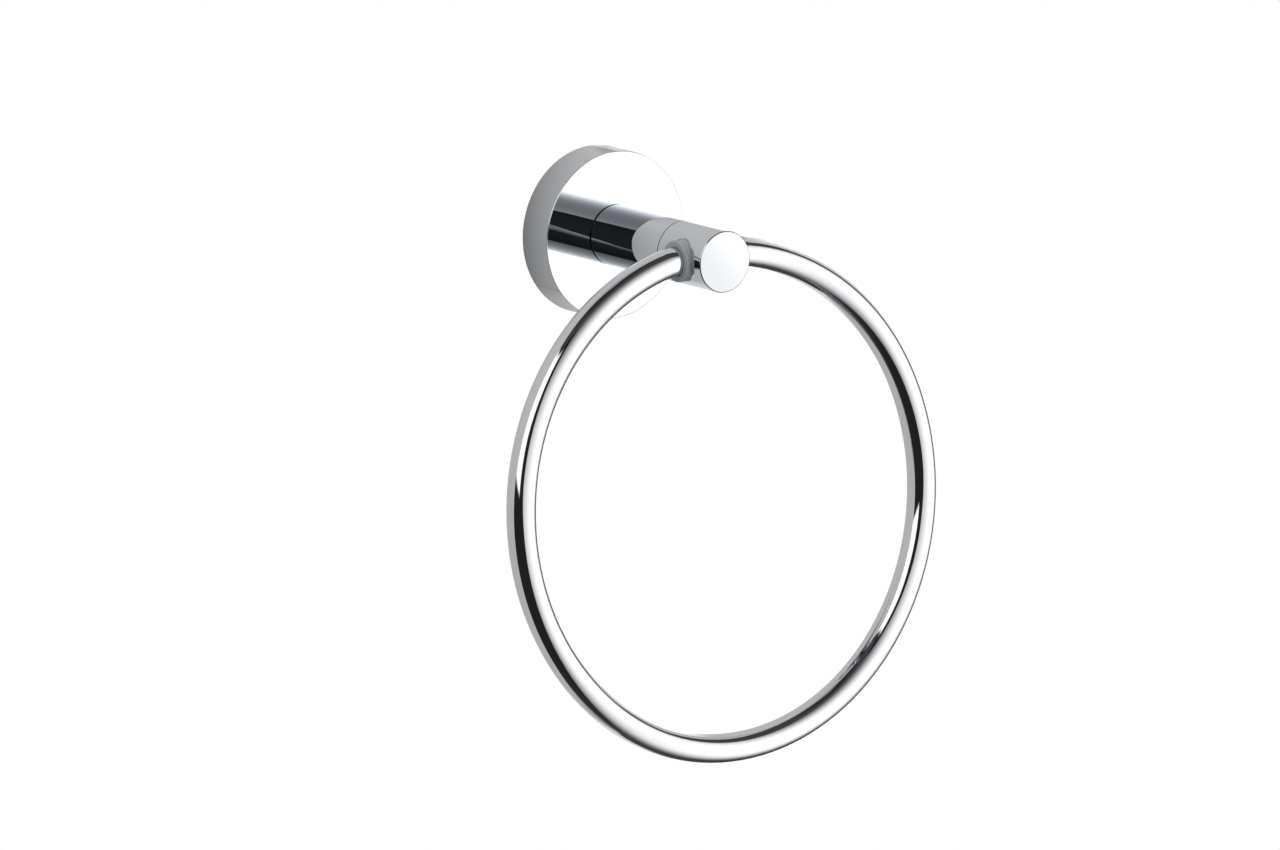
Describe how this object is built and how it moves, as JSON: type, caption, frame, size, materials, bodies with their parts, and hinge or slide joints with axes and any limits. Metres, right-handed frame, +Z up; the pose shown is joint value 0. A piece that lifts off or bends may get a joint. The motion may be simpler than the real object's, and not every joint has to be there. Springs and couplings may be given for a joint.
{
  "type": "towel ring",
  "caption": "Wall-mounted towel ring in polished chrome: a round ring swings in plastic bushes in the head of a short post that stands on a round flange.",
  "frame": {"origin": "centre of the wall face, on the post's axis", "axes": "+Z up, -Y out from the wall along the post, +X to the right of someone facing the wall"},
  "size_m": [0.17, 0.081, 0.1908],
  "materials": {
    "chrome": "polished chrome plate",
    "bracket_steel": "zinc-plated steel",
    "screw_steel": "plain stainless steel",
    "bush_plastic": "grey moulded plastic"
  },
  "bodies": {
    "wall_mount": {"wall_bracket": "bracket_steel", "flange": "chrome", "set_screw": "screw_steel", "lock_washer": "screw_steel", "post_screw": "screw_steel", "post": "chrome", "head_stud": "screw_steel", "head": "chrome", "left_bush": "bush_plastic", "right_bush": "bush_plastic"},
    "towel_ring": {"ring": "chrome"}
  },
  "joints": [
    {"name": "ring_swing", "type": "hinge", "parent": "wall_mount", "child": "towel_ring", "pos_m": [0, -0.061, 0], "axis": [-1, 0, 0], "range_deg": [-26, 195]}
  ]
}
